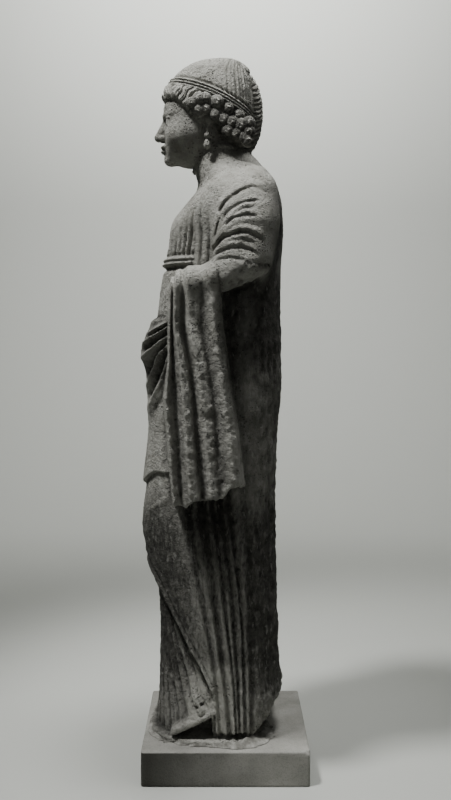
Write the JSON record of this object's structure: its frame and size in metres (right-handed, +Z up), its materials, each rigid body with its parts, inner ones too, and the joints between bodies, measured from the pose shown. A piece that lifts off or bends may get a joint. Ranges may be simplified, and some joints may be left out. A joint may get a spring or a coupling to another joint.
{
  "type": "draped standing statue",
  "caption": "Weathered limestone statue of a draped woman with a falling mantle end, bedded in plaster on a low square plinth; stands by its own weight.",
  "frame": {"origin": "middle of the plinth's underside", "axes": "+Z up, the figure faces -Y and her left side is +X"},
  "size_m": [0.2625, 0.2253, 0.9633],
  "materials": {
    "limestone": "weathered soft limestone, rough and pitted, darker at the back and legs",
    "plaster": "crumbly pale plaster",
    "plinth_stone": "smooth matt block, paler on top, with worn edges"
  },
  "bodies": {
    "root": {"statue": "limestone", "plaster_bedding": "plaster", "plinth": "plinth_stone"}
  },
  "joints": []
}
